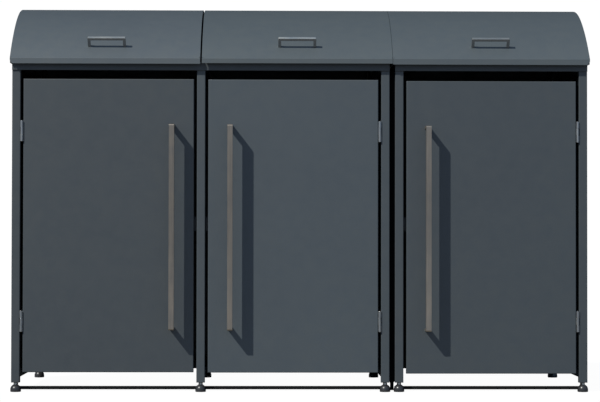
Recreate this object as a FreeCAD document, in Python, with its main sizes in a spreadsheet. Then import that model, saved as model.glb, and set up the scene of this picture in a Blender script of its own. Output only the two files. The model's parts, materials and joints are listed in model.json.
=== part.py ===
import FreeCAD, Part
import math
import os

# Wheelie bin store of powder-coated steel, in millimetres, +Z up.
# X runs along the front, -Y is the front, Z = 0 is the ground.  Sizes along Y
# are counted from the plane of the post and door faces; each finished sub-part
# is then moved forward so that the origin is the middle of the footprint.
# Unit a holds two bays that share one middle frame, unit b holds one bay and
# stands beside it.

doc = FreeCAD.newDocument("bin_store")
V = FreeCAD.Vector

# ---------------------------------------------------------------- dimensions
SIZES = [
    ("post", 30.0, "side of the square frame tube"),
    ("wall", 2.0, "wall of the frame tube"),
    ("tube_round", 2.5, "outer corner radius of the frame tube"),
    ("bay_clear", 630.0, "clear width between the frames of a bay"),
    ("unit_gap", 20.0, "gap between the two units"),
    ("depth", 800.0, "front face to rear face of the frame"),
    ("half_deep", 370.0, "post faces to the middle of the overall depth"),
    ("post_base", 35.0, "height of the lower end of the posts"),
    ("post_top", 1179.0, "height of the top of the frame"),
    ("low_rail_z", 52.0, "underside of the low side rails"),
    ("rear_rail_z", 36.0, "underside of the low rear rails"),
    ("header_deep", 5.0, "thickness of the flat header and rear top rails"),
    ("header_tall", 30.0, "height of the flat header and rear top rails"),
    ("sheet", 1.5, "sheet thickness of doors, lids and panels"),
    ("panel_fit", 0.5, "fit of a wall panel in its frame"),
    ("panel_recess", 3.0, "step from the frame face to the panel face"),
    ("panel_deep", 14.0, "depth of the folded edge of a wall panel"),
    ("door_wide", 609.0, "width of a door"),
    ("door_tall", 1048.0, "height of a door"),
    ("door_base", 70.0, "height of the lower edge of a door"),
    ("drop_2", 1.0, "door 2 hangs lower than door 1 by"),
    ("drop_3", 4.5, "door 3 hangs lower than door 1 by"),
    ("door_deep", 25.0, "depth of the folded door tray"),
    ("door_lip", 15.0, "return lip at the back of the door tray"),
    ("door_round", 2.8, "fold radius at the door face"),
    ("bar_side", 18.5, "width of the pull bar"),
    ("bar_deep", 23.0, "depth of the pull bar, front to back"),
    ("bar_leg", 8.0, "thickness of the legs of the pull bar"),
    ("bar_round", 5.5, "bend radius at the ends of the pull bar"),
    ("bar_tall", 731.0, "length of the pull bar"),
    ("bar_base", 223.0, "height of the lower end of the pull bar"),
    ("bar_reach", 76.0, "pull bar projection from the door face"),
    ("bar_inset", 77.0, "free edge of the door to the middle of the bar"),
    ("bar_shift", 2.2, "bar of door 2 farther from, of door 3 nearer to it"),
    ("knuckle_rad", 4.0, "radius of the door hinge knuckles"),
    ("pin_rad", 2.0, "radius of the door hinge pin"),
    ("pin_fit", 0.1, "radial play of hinge pins"),
    ("hinge_tall", 73.6, "length of a door hinge"),
    ("hinge_low", 215.0, "height of the lower door hinge"),
    ("hinge_high", 894.5, "height of the upper door hinge"),
    ("hinge_axis_y", -3.9, "door hinge axis, ahead of the door face"),
    ("leaf", 1.5, "thickness of the door hinge leaves"),
    ("lid_over_side", 5.5, "lid overhang past the frame at the outer ends"),
    ("lid_over_gap", 9.5, "lid overhang past the frame between the units"),
    ("lid_seam", 6.0, "gap between the two lids of unit a"),
    ("lid_over_front", 30.0, "lid lip ahead of the post faces"),
    ("lid_lip_z", 1172.0, "height of the lower edge of the lip"),
    ("lip_down_1", 1.8, "lip of lid 1 lower by"),
    ("lip_up_2", 0.9, "lip of lid 2 higher by"),
    ("lip_down_3", 2.2, "lip of lid 3 lower by"),
    ("lid_fold_z", 1190.0, "height of the fold between lip and arch"),
    ("lid_join_y", 165.5, "where the front arc of the lid meets the rear arc"),
    ("lid_join_z", 1343.0, "height where the two arcs meet"),
    ("lid_rear_z", 1256.0, "height of the rear upper edge of the lid"),
    ("lid_arc_front", 749.0, "radius of the front arc of the lid"),
    ("lid_arc_rear", 540.0, "radius of the rear arc of the lid"),
    ("lid_cheek_z", 1183.0, "height of the lower edge of the lid sides"),
    ("lid_skirt_z", 1173.0, "height of the lower edge of the outer lid sides"),
    ("lid_strip_z", 1166.0, "height of the lower edge of the rear lid strip"),
    ("lid_clip", 8.0, "corner cut at the outer ends of the lip, width"),
    ("lid_clip_tall", 12.0, "corner cut at the outer ends of the lip, height"),
    ("lid_clip_seam", 1.5, "corner cut at the other ends of the lip"),
    ("relief_deep", 10.0, "depth of the relief in the sides at the seam"),
    ("relief_tall", 1226.0, "height of the top of that relief"),
    ("lid_flange", 25.0, "inward flange under the lid sides"),
    ("grip_wide", 136.0, "length of the bow handle on a lid"),
    ("grip_side", 10.0, "side of the bow handle bar"),
    ("grip_reach", 39.0, "bow handle projection from the lid skin"),
    ("grip_y", 17.0, "foot of the bow handle behind the post faces"),
    ("grip_z", 1237.08, "height of the foot of the bow handle"),
    ("grip_tilt", 42.49, "tilt of the bow handle, square to the lid skin"),
    ("grip_shift", 3.5, "bow handle of lid 1 off the middle of its lid"),
    ("lid_axis_y", 811.0, "lid hinge axis behind the post faces"),
    ("lid_axis_z", 1181.0, "height of the lid hinge axis"),
    ("lid_knuckle_rad", 5.0, "radius of the lid hinge knuckles"),
    ("lid_pin_rad", 2.5, "radius of the lid hinge pin"),
    ("lid_hinge_wide", 84.0, "length of a lid hinge"),
    ("lid_hinge_inset", 110.0, "lid edge to the near end of a lid hinge"),
    ("strut_ahead", 160.0, "strut pivots ahead of the lid hinge axis"),
    ("strut_off", 120.0, "strut pivots below and above the lid hinge axis"),
    ("strut_side", 15.0, "middle of the strut inside the frame face"),
    ("strut_rad", 9.0, "radius of the strut cylinder"),
    ("strut_bore", 4.5, "bore of the strut cylinder, radius"),
    ("strut_start", 20.0, "lower pivot to the lower end of the tube"),
    ("strut_long", 180.0, "length of the strut cylinder tube"),
    ("rod_rad", 4.0, "radius of the strut rod"),
    ("rod_long", 205.0, "upper pivot to the inner end of the rod"),
    ("eye_rad", 9.0, "radius of the strut eyes"),
    ("eye_thick", 8.0, "thickness of the strut eyes"),
    ("stud_rad", 4.0, "radius of the strut pivot studs"),
    ("plate", 3.0, "thickness of the strut brackets"),
    ("foot_rad", 19.0, "radius of a levelling foot"),
    ("foot_ease", 1.5, "chamfer under the foot"),
    ("foot_rim", 8.5, "height of the foot up to its dome"),
    ("foot_dome", 63.5, "latitude at which the dome ends, in degrees"),
    ("foot_tall", 25.5, "height of the foot base"),
    ("stem_rad", 4.0, "radius of the foot stem"),
    ("nut_flats", 13.0, "lock nut across its flats"),
    ("nut_tall", 7.0, "height of the lock nut"),
    ("nut_z", 25.5, "underside of the lock nut"),
    ("tie_y", 35.5, "front of the threshold bar behind the post faces"),
    ("tie_deep", 5.0, "thickness of the threshold bar"),
    ("tie_z", 7.0, "underside of the threshold bar"),
    ("tie_tall", 12.0, "height of the threshold bar"),
    ("tie_tab", 12.0, "width of the tabs that carry the threshold bar"),
    ("plug_flange", 1.5, "flange of the post plug"),
    ("plug_tall", 15.0, "spigot of the post plug"),
    ("catch_z", 575.0, "underside of the door catch"),
    ("catch_tall", 50.0, "height of the door catch"),
    ("pad_rad", 5.0, "radius of the lid buffers"),
    ("pad_tall", 3.7, "height of the lid buffers"),
    ("bolt_rad", 4.0, "shank radius of the bolts"),
    ("head_rad", 7.0, "head radius of the bolts"),
]

sheet = doc.addObject("Spreadsheet::Sheet", "dims")
for row, (alias, value, note) in enumerate(SIZES, start=1):
    sheet.set("A%d" % row, note)
    sheet.set("B%d" % row, repr(value))
    sheet.setAlias("B%d" % row, alias)
doc.recompute()


class Num:
    """A size that knows its sheet expression and its present value."""

    def __init__(self, text, value):
        self.text = text
        self.value = float(value)

    def _with(self, other, sign, flip=False):
        other = num(other)
        a, b = (other, self) if flip else (self, other)
        value = {"+": a.value + b.value, "-": a.value - b.value,
                 "*": a.value * b.value,
                 "/": a.value / b.value if b.value else 0.0}[sign]
        return Num("(%s %s %s)" % (a.text, sign, b.text), value)

    def __add__(self, o): return self._with(o, "+")
    def __radd__(self, o): return self._with(o, "+", True)
    def __sub__(self, o): return self._with(o, "-")
    def __rsub__(self, o): return self._with(o, "-", True)
    def __mul__(self, o): return self._with(o, "*")
    def __rmul__(self, o): return self._with(o, "*", True)
    def __truediv__(self, o): return self._with(o, "/")
    def __neg__(self): return self._with(-1.0, "*")


def num(v):
    return v if isinstance(v, Num) else Num(repr(float(v)), v)


class Sizes:
    pass


S = Sizes()
for alias, value, note in SIZES:
    setattr(S, alias, Num("dims." + alias, value))


def bind(obj, prop, value):
    value = num(value)
    obj.setExpression(prop, value.text)
    return value


counter = [0]


def fresh(stem):
    counter[0] += 1
    return "%s_%03d" % (stem, counter[0])


def place(obj, x, y, z):
    bind(obj, "Placement.Base.x", x)
    bind(obj, "Placement.Base.y", y)
    bind(obj, "Placement.Base.z", z)


def box(x0, x1, y0, y1, z0, z1):
    """Box between two corners, each side bound to the sheet."""
    x0, x1, y0, y1, z0, z1 = [num(v) for v in (x0, x1, y0, y1, z0, z1)]
    b = doc.addObject("Part::Box", fresh("block"))
    b.Length, b.Width, b.Height = (x1.value - x0.value, y1.value - y0.value,
                                   z1.value - z0.value)
    bind(b, "Length", x1 - x0)
    bind(b, "Width", y1 - y0)
    bind(b, "Height", z1 - z0)
    b.Placement.Base = V(x0.value, y0.value, z0.value)
    place(b, x0, y0, z0)
    return b


TURN = {"z": FreeCAD.Rotation(V(0, 0, 1), 0),
        "x": FreeCAD.Rotation(V(0, 1, 0), 90),
        "y": FreeCAD.Rotation(V(1, 0, 0), -90)}


def rod(x, y, z, radius, length, axis="z"):
    """Cylinder that starts at a point and runs along an axis."""
    x, y, z, radius, length = [num(v) for v in (x, y, z, radius, length)]
    c = doc.addObject("Part::Cylinder", fresh("round"))
    c.Radius, c.Height = radius.value, length.value
    c.Placement = FreeCAD.Placement(V(x.value, y.value, z.value), TURN[axis])
    bind(c, "Radius", radius)
    bind(c, "Height", length)
    place(c, x, y, z)
    return c


def cone(x, y, z, radius_low, radius_high, length):
    x, y, z, radius_low, radius_high, length = [
        num(v) for v in (x, y, z, radius_low, radius_high, length)]
    c = doc.addObject("Part::Cone", fresh("taper"))
    c.Radius1, c.Radius2, c.Height = (radius_low.value, radius_high.value,
                                      length.value)
    c.Placement.Base = V(x.value, y.value, z.value)
    bind(c, "Radius1", radius_low)
    bind(c, "Radius2", radius_high)
    bind(c, "Height", length)
    place(c, x, y, z)
    return c


def dome(x, y, z, radius, latitude):
    """Lower part of a ball's upper half, flat where it ends."""
    x, y, z, radius, latitude = [num(v) for v in (x, y, z, radius, latitude)]
    c = doc.addObject("Part::Sphere", fresh("dome"))
    c.Radius, c.Angle1, c.Angle2 = radius.value, 0.0, latitude.value
    c.Placement.Base = V(x.value, y.value, z.value)
    bind(c, "Radius", radius)
    bind(c, "Angle2", latitude)
    place(c, x, y, z)
    return c


def cut(base, tool, label=None):
    c = doc.addObject("Part::Cut", fresh("cut"))
    c.Base, c.Tool = base, tool
    if label:
        c.Label = label
    return c


def fuse(parts, label=None):
    f = doc.addObject("Part::MultiFuse", fresh("join"))
    f.Shapes = parts
    f.Refine = True
    if label:
        f.Label = label
    return f


def group(parts, label):
    g = doc.addObject("Part::Compound", fresh("group"))
    g.Links = parts
    g.Label = label
    return g


def rounded(b, axis, radius):
    """Round the four edges of a box that run along one axis."""
    doc.recompute([b])
    want = {"x": V(1, 0, 0), "y": V(0, 1, 0), "z": V(0, 0, 1)}[axis]
    ids = []
    for i, e in enumerate(b.Shape.Edges, start=1):
        d = (e.Vertexes[1].Point - e.Vertexes[0].Point).normalize()
        if abs(d.dot(want)) > 0.999:
            ids.append(i)
    f = doc.addObject("Part::Fillet", fresh("eased"))
    f.Base = b
    f.Edges = [(i, num(radius).value, num(radius).value) for i in ids]
    return f


NODES = []          # every finished sub-part, in order


def keep(obj, label):
    """Name a finished sub-part and move it to the common origin."""
    obj.Label = label
    if obj.TypeId != "PartDesign::Body":
        obj.Placement.Base = V(0, -S.half_deep.value, 0)
        bind(obj, "Placement.Base.y", -S.half_deep)
    NODES.append(obj)
    return obj


# ------------------------------------------------------- sketches and bodies
def origin_plane(body, role):
    for f in body.Origin.OriginFeatures:
        if f.Role == role:
            return f
    raise RuntimeError("no plane " + role)


def profile(body, role, points, arcs=None, offset=None):
    """Closed outline on one of the body's own planes.  Each corner is held by
    its two distances from the origin, each arc by its radius as well.
    arcs maps a corner number to the radius of the arc that starts there."""
    arcs = arcs or {}
    sk = body.newObject("Sketcher::SketchObject", fresh("outline"))
    sk.AttachmentSupport = [(origin_plane(body, role), "")]
    sk.MapMode = "FlatFace"
    if offset is not None:
        offset = num(offset)
        sk.AttachmentOffset = FreeCAD.Placement(V(0, 0, offset.value),
                                                FreeCAD.Rotation())
        bind(sk, "AttachmentOffset.Base.z", offset)
    pts = [(num(a), num(b)) for a, b in points]
    n = len(pts)
    import Sketcher
    for i in range(n):
        a, b = pts[i], pts[(i + 1) % n]
        p = V(a[0].value, a[1].value, 0)
        q = V(b[0].value, b[1].value, 0)
        if i in arcs:
            r = num(arcs[i]).value
            chord = q.sub(p)
            half = chord.Length / 2.0
            mid = p.add(q).multiply(0.5)
            side = V(chord.y, -chord.x, 0).normalize()
            centre = mid.add(side.multiply(math.sqrt(r * r - half * half)))
            # The outline runs clockwise, the arc the other way, from q to p.
            t0 = math.atan2(q.y - centre.y, q.x - centre.x)
            t1 = math.atan2(p.y - centre.y, p.x - centre.x)
            if t1 < t0:
                t1 += math.pi * 2
            sk.addGeometry(Part.ArcOfCircle(Part.Circle(centre, V(0, 0, 1), r),
                                            t0, t1), False)
        else:
            sk.addGeometry(Part.LineSegment(p, q), False)
    start, end = {}, {}
    for i in range(n):
        g = sk.Geometry[i]
        a = pts[i]
        p = V(a[0].value, a[1].value, 0)
        if g.StartPoint.sub(p).Length < 1e-4:
            start[i], end[i] = 1, 2
        else:
            start[i], end[i] = 2, 1
    for i in range(n):
        j = (i + 1) % n
        sk.addConstraint(Sketcher.Constraint("Coincident", i, end[i],
                                             j, start[j]))
    for i in range(n):
        for kind, value in (("DistanceX", pts[i][0]), ("DistanceY", pts[i][1])):
            k = sk.addConstraint(Sketcher.Constraint(kind, -1, 1, i, start[i],
                                                     value.value))
            sk.setExpression("Constraints[%d]" % k, value.text)
    for i in sorted(arcs):
        k = sk.addConstraint(Sketcher.Constraint("Radius", i,
                                                 num(arcs[i]).value))
        sk.setExpression("Constraints[%d]" % k, num(arcs[i]).text)
    return sk


def rect(a0, b0, a1, b1):
    return [(a0, b0), (a1, b0), (a1, b1), (a0, b1)]


def pad(body, sk, length, both=False, back=False):
    f = body.newObject("PartDesign::Pad", fresh("pad"))
    f.Profile = sk
    f.Length = num(length).value
    bind(f, "Length", length)
    if both:
        f.Midplane = True
    if back:
        f.Reversed = True
    doc.recompute()
    return f


def pocket(body, sk, length, both=False, back=False):
    before = body.Shape.Volume
    f = body.newObject("PartDesign::Pocket", fresh("pocket"))
    f.Profile = sk
    f.Length = num(length).value
    bind(f, "Length", length)
    if both:
        f.Midplane = True
    if back:
        f.Reversed = True
    doc.recompute()
    if not body.Shape.Volume < before - 1.0:
        raise RuntimeError("pocket removed nothing in " + body.Label)
    return f


def new_body(label):
    b = doc.addObject("PartDesign::Body", fresh("body"))
    b.Label = label
    return b


# ------------------------------------------------------------- where X falls
half = (S.bay_clear * 3 + S.post * 5 + S.unit_gap) / 2
A_LEFT = -half                                   # outer face of unit a
A_MID = A_LEFT + S.post + S.bay_clear            # left face of middle frame
A_RIGHT = A_MID + S.post + S.bay_clear           # left face of its last frame
A_END = A_RIGHT + S.post
B_LEFT = A_END + S.unit_gap
B_RIGHT = B_LEFT + S.post + S.bay_clear
B_END = B_RIGHT + S.post
FRAMES = [("side_frame_a_left", A_LEFT), ("side_frame_a_mid", A_MID),
          ("side_frame_a_right", A_RIGHT), ("side_frame_b_left", B_LEFT),
          ("side_frame_b_right", B_RIGHT)]
BAY = {1: (A_LEFT + S.post, A_MID), 2: (A_MID + S.post, A_RIGHT),
       3: (B_LEFT + S.post, B_RIGHT)}
HINGE_SIDE = {1: -1, 2: 1, 3: 1}                 # -1 hinged left, 1 hinged right
STRUT_SIDE = {1: -1, 2: 1, 3: 1}
seam = A_MID + S.post / 2
LID = {1: (A_LEFT - S.lid_over_side, seam - S.lid_seam / 2),
       2: (seam + S.lid_seam / 2, A_END + S.lid_over_gap),
       3: (B_LEFT - S.lid_over_gap, B_END + S.lid_over_side)}
OUTER = {1: (-1,), 2: (1,), 3: (-1, 1)}          # lid ends at a unit's end
FREE_END = {1: (-1,), 2: (), 3: (1,)}            # lid ends with no neighbour
SEAM_END = {1: (1,), 2: (-1,), 3: ()}            # lid ends at the seam of unit a
rear_inner = S.depth - S.post
TIE_AT = [(200.0, S.post_top - S.post / 2), (600.0, S.post_top - S.post / 2),
          (200.0, S.low_rail_z + S.post / 2), (600.0, S.low_rail_z + S.post / 2)]

# --------------------------------------------------------- the welded frames
# Two posts, a top rail and a low rail of square tube.  The hollow of the rails
# opens into the hollow of the posts, which is open at the foot.
for label, x in FRAMES:
    front = rounded(box(x, x + S.post, 0, S.post, S.post_base, S.post_top),
                    "z", S.tube_round)
    back = rounded(box(x, x + S.post, rear_inner, S.depth, S.post_base,
                       S.post_top), "z", S.tube_round)
    top = rounded(box(x, x + S.post, S.post - 4, rear_inner + 4,
                      S.post_top - S.post, S.post_top), "y", S.tube_round)
    low = rounded(box(x, x + S.post, S.post - 4, rear_inner + 4,
                      S.low_rail_z, S.low_rail_z + S.post), "y", S.tube_round)
    outer = fuse([front, back, top, low])
    x0, x1 = x + S.wall, x + S.post - S.wall
    hollow = [
        box(x0, x1, S.wall, S.post - S.wall, S.post_base, S.post_top - S.wall),
        box(x0, x1, rear_inner + S.wall, S.depth - S.wall, S.post_base,
            S.post_top - S.wall),
        box(x0, x1, S.wall * 2, S.depth - S.wall * 2,
            S.post_top - S.post + S.wall, S.post_top - S.wall),
        box(x0, x1, S.wall * 2, S.depth - S.wall * 2,
            S.low_rail_z + S.wall, S.low_rail_z + S.post - S.wall)]
    if label in ("side_frame_a_right", "side_frame_b_left"):
        for y, z in TIE_AT:
            hollow.append(rod(x - 1, y, z, S.bolt_rad + 0.3, S.post + 2, "x"))
    keep(cut(outer, fuse(hollow)), label)

# Flat rails across the front and rear faces of the posts.
for unit, x0, x1 in (("a", A_LEFT, A_END), ("b", B_LEFT, B_END)):
    keep(rounded(box(x0, x1, -S.header_deep, 0, S.post_top - S.header_tall,
                     S.post_top), "x", 1.0), "header_rail_" + unit)
    keep(rounded(box(x0, x1, S.depth, S.depth + S.header_deep,
                     S.post_top - S.header_tall, S.post_top), "x", 1.0),
         "rear_top_rail_" + unit)

# Low rear rails: one length of tube between each pair of rear posts.
for unit, bays in (("a", (1, 2)), ("b", (3,))):
    tubes = []
    for n in bays:
        x0, x1 = BAY[n]
        t = rounded(box(x0, x1, rear_inner, S.depth, S.rear_rail_z,
                        S.rear_rail_z + S.post), "x", S.tube_round)
        tubes.append(cut(t, box(x0 - 1, x1 + 1, rear_inner + S.wall,
                                S.depth - S.wall, S.rear_rail_z + S.wall,
                                S.rear_rail_z + S.post - S.wall)))
    keep(group(tubes, "low"), "rear_bottom_rail_" + unit)

# Side panels: folded trays that sit in the outer frames, open inwards.
panel_z0 = S.low_rail_z + S.post
panel_z1 = S.post_top - S.post
for label, x, side in (("side_panel_a_left", A_LEFT, 1),
                       ("side_panel_a_right", A_END, -1),
                       ("side_panel_b_left", B_LEFT, 1),
                       ("side_panel_b_right", B_END, -1)):
    xa = x + S.panel_recess * side
    xb = x + (S.panel_recess + S.panel_deep) * side
    xc = x + (S.panel_recess + S.sheet) * side
    xd = x + (S.panel_recess + S.panel_deep + 1) * side
    lo, hi = (xa, xb) if side > 0 else (xb, xa)
    lo2, hi2 = (xc, xd) if side > 0 else (xd, xc)
    y0, y1 = S.post + S.panel_fit, rear_inner - S.panel_fit
    tray = rounded(box(lo, hi, y0, y1, panel_z0, panel_z1), "z", 0.8)
    keep(cut(tray, box(lo2, hi2, y0 + S.sheet, y1 - S.sheet,
                       panel_z0 + S.sheet, panel_z1 - S.sheet)), label)

# Rear panels: trays between the rear posts, open inwards.
for n in (1, 2, 3):
    x0, x1 = BAY[n]
    x0, x1 = x0 + S.panel_fit, x1 - S.panel_fit
    ya, yb = S.depth - S.panel_recess - S.panel_deep, S.depth - S.panel_recess
    top_z = S.post_top - S.header_tall
    low_z = S.rear_rail_z + S.post
    tray = rounded(box(x0, x1, ya, yb, low_z, top_z), "z", 0.8)
    keep(cut(tray, box(x0 + S.sheet, x1 - S.sheet, ya - 1, yb - S.sheet,
                       low_z + S.sheet, top_z - S.sheet)),
         "rear_panel_%d" % n)

# ------------------------------------------------------------ levelling feet
FEET = [(x + S.post / 2, y) for _, x in FRAMES
        for y in (S.post / 2, S.depth - S.post / 2)]
# A flat bar runs across each unit close behind the front feet.  Tabs under the
# low side rails carry it.
ties = []
for x0, x1, xs in ((A_LEFT, A_END, (A_LEFT, A_MID, A_RIGHT)),
                   (B_LEFT, B_END, (B_LEFT, B_RIGHT))):
    y0, y1 = S.tie_y, S.tie_y + S.tie_deep
    flat = rounded(box(x0, x1, y0, y1, S.tie_z, S.tie_z + S.tie_tall),
                   "x", 0.8)
    tabs = [box(x + (S.post - S.tie_tab) / 2, x + (S.post + S.tie_tab) / 2,
                y0, y1, S.tie_z + S.tie_tall / 2, S.low_rail_z) for x in xs]
    ties.append(fuse([flat] + tabs))
keep(group(ties, "ties"), "threshold_bars")

bases, stems, nuts, plugs = [], [], [], []
for x, y in FEET:
    body_ = fuse([cone(x, y, 0, S.foot_rad - S.foot_ease, S.foot_rad,
                       S.foot_ease),
                  rod(x, y, S.foot_ease, S.foot_rad, S.foot_rim - S.foot_ease),
                  dome(x, y, S.foot_rim, S.foot_rad, S.foot_dome)])
    bases.append(cut(body_, rod(x, y, 4, S.stem_rad, S.foot_tall)))
    stems.append(rod(x, y, 4, S.stem_rad, 54))
    hexa = doc.addObject("Part::Prism", fresh("hexagon"))
    hexa.Polygon = 6
    hexa.Circumradius = S.nut_flats.value / math.sqrt(3.0)
    hexa.Height = S.nut_tall.value
    bind(hexa, "Circumradius", S.nut_flats / math.sqrt(3.0))
    bind(hexa, "Height", S.nut_tall)
    hexa.Placement.Base = V(x.value, y.value, S.nut_z.value)
    place(hexa, x, y, S.nut_z)
    nuts.append(cut(hexa, rod(x, y, S.nut_z - 1, S.stem_rad,
                              S.nut_tall + 2)))
    r = S.post / 2
    s = S.post / 2 - S.wall - 0.2
    flange = rounded(box(x - r, x + r, y - r, y + r,
                         S.post_base - S.plug_flange, S.post_base), "z", 2.5)
    spigot = box(x - s, x + s, y - s, y + s, S.post_base,
                 S.post_base + S.plug_tall)
    plugs.append(cut(fuse([flange, spigot]),
                     rod(x, y, S.post_base - S.plug_flange - 1,
                         S.stem_rad + 0.1, S.plug_flange + S.plug_tall + 2)))
keep(group(bases, "bases"), "foot_bases")
keep(group(stems, "stems"), "foot_studs")
keep(group(nuts, "nuts"), "foot_lock_nuts")
keep(group(plugs, "plugs"), "post_end_plugs")

# --------------------------------------------------------------------- doors
DOOR = {}
for n in (1, 2, 3):
    b0, b1 = BAY[n]
    edge = (S.bay_clear - S.door_wide) / 2
    DOOR[n] = (b0 + edge, b1 - edge)
DROP = {1: None, 2: S.drop_2, 3: S.drop_3}

for n in (1, 2, 3):
    d0, d1 = DOOR[n]
    side = HINGE_SIDE[n]
    # Folded tray: face sheet, four side walls and a return lip all round.
    b = new_body("door_panel_%d" % n)
    w, t, lip, sh = S.door_wide, S.door_tall, S.door_lip, S.sheet
    pad(b, profile(b, "XZ_Plane", rect(0, 0, w, t)), S.door_deep, back=True)
    pocket(b, profile(b, "XZ_Plane", rect(sh, sh, w - sh, t - sh),
                      offset=-sh), S.door_deep - sh * 2)
    pocket(b, profile(b, "XZ_Plane", rect(lip, lip, w - lip, t - lip),
                      offset=-(S.door_deep - sh * 2)), S.door_deep)
    names = []
    for i, e in enumerate(b.Shape.Edges, start=1):
        ys = [v.Point.y for v in e.Vertexes]
        zs = [v.Point.z for v in e.Vertexes]
        xs = [v.Point.x for v in e.Vertexes]
        on_rim = (min(xs) < 0.01 and max(xs) < 0.01) or \
            min(xs) > w.value - 0.01 or \
            (max(zs) < 0.01) or min(zs) > t.value - 0.01
        if max(ys) < 0.01 and on_rim:
            names.append("Edge%d" % i)
    last = b.Tip
    fil = b.newObject("PartDesign::Fillet", fresh("fold"))
    fil.Base = (last, names)
    fil.Radius = S.door_round.value
    bind(fil, "Radius", S.door_round)
    hang = S.door_base - DROP[n] if DROP[n] else S.door_base
    b.Placement.Base = V(d0.value, -S.half_deep.value, hang.value)
    place(b, d0, -S.half_deep, hang)
    doc.recompute()
    keep(b, "door_panel_%d" % n)

    # Flat-sided pull bar: the bar and its two flat legs, bent at the ends.
    h = new_body("bar_handle_%d" % n)
    r, leg, reach, tall, deep = (S.bar_round, S.bar_leg, S.bar_reach,
                                 S.bar_tall, S.bar_deep)
    outline = [(0, 0), (0, leg), (-(reach - deep), leg),
               (-(reach - deep), tall - leg), (0, tall - leg), (0, tall),
               (-(reach - r), tall), (-reach, tall - r), (-reach, r),
               (-(reach - r), 0)]
    # The outline runs so that the two bends turn outwards.
    sk = profile(h, "YZ_Plane", outline[::-1], arcs={0: r, 2: r})
    pad(h, sk, S.bar_side, both=True)
    mid = {1: d1 - S.bar_inset, 2: d0 + S.bar_inset + S.bar_shift,
           3: d0 + S.bar_inset - S.bar_shift}[n]
    hang = S.bar_base - DROP[n] if DROP[n] else S.bar_base
    h.Placement.Base = V(mid.value, -S.half_deep.value, hang.value)
    place(h, mid, -S.half_deep, hang)
    doc.recompute()
    keep(h, "bar_handle_%d" % n)

# Door hinges: two to a door.  The frame half holds the outer knuckles and the
# pin, the door half the middle knuckle.


def between(p, q, *rest):
    """Box whose two X limits may come in either order."""
    return box(p, q, *rest) if num(p).value < num(q).value else \
        box(q, p, *rest)


frame_leaves = []
for n in (1, 2, 3):
    side = HINGE_SIDE[n]
    d0, d1 = DOOR[n]
    b0, b1 = BAY[n]
    door_edge = d0 if side < 0 else d1
    post_face = b0 if side < 0 else b1
    ax = (door_edge + post_face) / 2
    ay = S.hinge_axis_y
    y0 = ay + S.knuckle_rad + 1
    door_halves = []
    for z in (S.hinge_low, S.hinge_high):
        third = (S.hinge_tall - 1) / 3
        zm0, zm1 = z + third + 0.5, z + third * 2 + 0.5
        z3 = z + third * 2 + 1
        frame_leaves.append(fuse([
            between(post_face, post_face + S.leaf * -side, y0, S.post - 4, z,
                    z + S.hinge_tall),
            between(post_face, ax, ay, y0 + 1, z, z + third),
            between(post_face, ax, ay, y0 + 1, z3, z + S.hinge_tall),
            rod(ax, ay, z, S.knuckle_rad, third),
            rod(ax, ay, z3, S.knuckle_rad, third),
            rod(ax, ay, z, S.pin_rad, S.hinge_tall)]))
        knuckle = fuse([
            between(door_edge, door_edge + S.leaf * side, y0,
                    S.door_deep - 1, z, z + S.hinge_tall),
            between(door_edge, ax, ay, y0 + 1, zm0, zm1),
            rod(ax, ay, zm0, S.knuckle_rad, third)])
        door_halves.append(cut(knuckle, rod(ax, ay, zm0 - 1,
                                            S.pin_rad + S.pin_fit,
                                            third + 2)))
    keep(group(door_halves, "halves"), "door_hinge_leaves_%d" % n)
keep(group(frame_leaves, "leaves"), "door_hinge_frame_leaves")

# Magnet catches on the free-side frames and their strike plates.
catches = []
for n in (1, 2, 3):
    side = HINGE_SIDE[n]
    d0, d1 = DOOR[n]
    b0, b1 = BAY[n]
    z0, z1 = S.catch_z, S.catch_z + S.catch_tall
    if side < 0:
        shell = box(b1 - 25, b1, S.door_deep + 2, S.door_deep + 20, z0, z1)
        faces = [box(b1 - 23, b1 - 13, S.door_deep + 1.8, S.door_deep + 2,
                     z0 + 8, z1 - 8)]
        strike = box(d1 - 14, d1 - 2, S.door_deep, S.door_deep + 1.5,
                     z0 + 5, z1 - 5)
    else:
        shell = box(b0, b0 + 25, S.door_deep + 2, S.door_deep + 20, z0, z1)
        faces = [box(b0 + 13, b0 + 23, S.door_deep + 1.8, S.door_deep + 2,
                     z0 + 8, z1 - 8)]
        strike = box(d0 + 2, d0 + 14, S.door_deep, S.door_deep + 1.5,
                     z0 + 5, z1 - 5)
    catches.append(fuse([rounded(shell, "z", 2.0)] + faces))
    keep(rounded(strike, "y", 2.0), "door_strike_%d" % n)
keep(group(catches, "catches"), "door_catches")

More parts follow.
